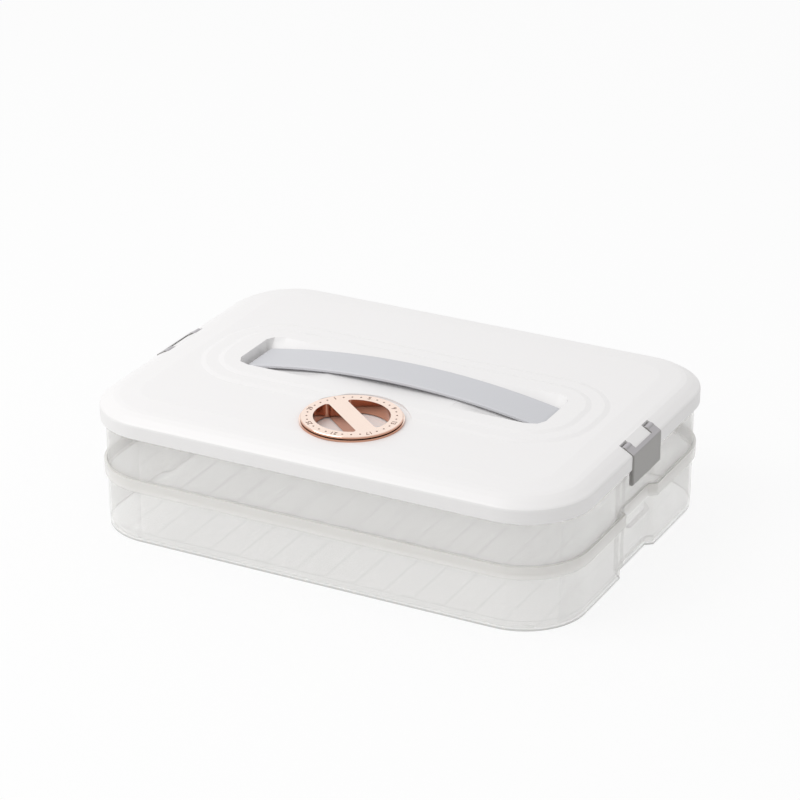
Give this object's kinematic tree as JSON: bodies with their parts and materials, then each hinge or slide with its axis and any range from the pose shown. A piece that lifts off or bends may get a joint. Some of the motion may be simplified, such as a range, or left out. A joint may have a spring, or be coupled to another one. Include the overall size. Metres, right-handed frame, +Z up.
{
  "type": "two-tier food keeper",
  "caption": "Flat two-tier food keeper in clear plastic with a white lid, bowed grey strap handle, rose-gold day dial and swing-down grey end latches.",
  "frame": {"origin": "middle of the bottom of the lower tier", "axes": "+X along the long side to the right-hand latch, +Y to the back away from the dial, +Z up"},
  "size_m": [0.3368, 0.245, 0.0953],
  "materials": {
    "clear_plastic": "milky clear moulded polypropylene",
    "white_plastic": "satin white moulded polypropylene",
    "pale_grey_plastic": "soft pale grey strap plastic",
    "grey_plastic": "satin mid grey moulded plastic",
    "rose_gold_plating": "plastic with bright rose-gold plating"
  },
  "bodies": {
    "base_body": {"lower_tier": "clear_plastic"},
    "upper_body": {"upper_tier": "clear_plastic"},
    "lid_body": {"lid": "white_plastic", "dial_bezel": "rose_gold_plating"},
    "strap_body": {"strap_handle": "pale_grey_plastic"},
    "dial_body": {"date_dial": "rose_gold_plating"},
    "latch_right_body": {"latch_right": "grey_plastic"},
    "latch_left_body": {"latch_left": "grey_plastic"}
  },
  "joints": [
    {"name": "upper_tier_lift", "type": "slide", "parent": "base_body", "child": "upper_body", "axis": [0, 0, 1], "range_m": [0, 0.06]},
    {"name": "lid_lift", "type": "slide", "parent": "upper_body", "child": "lid_body", "axis": [0, 0, 1], "range_m": [0, 0.024]},
    {"name": "strap_lift", "type": "slide", "parent": "lid_body", "child": "strap_body", "axis": [0, 0, 1], "range_m": [0, 0.004]},
    {"name": "dial_turn", "type": "hinge", "parent": "lid_body", "child": "dial_body", "pos_m": [0, -0.0665, 0.0885], "axis": [0, 0, 1], "continuous": true},
    {"name": "latch_right_swing", "type": "hinge", "parent": "lid_body", "child": "latch_right_body", "pos_m": [0.1612, 0, 0.0833], "axis": [0, -1, 0], "range_deg": [0, 120]},
    {"name": "latch_left_swing", "type": "hinge", "parent": "lid_body", "child": "latch_left_body", "pos_m": [-0.1612, 0, 0.0833], "axis": [0, 1, 0], "range_deg": [0, 120]}
  ],
  "couplings": [
    {"joint": "latch_right_swing", "follows": "lid_lift", "rad_per_m": 87.2},
    {"joint": "latch_left_swing", "follows": "lid_lift", "rad_per_m": 87.2}
  ]
}
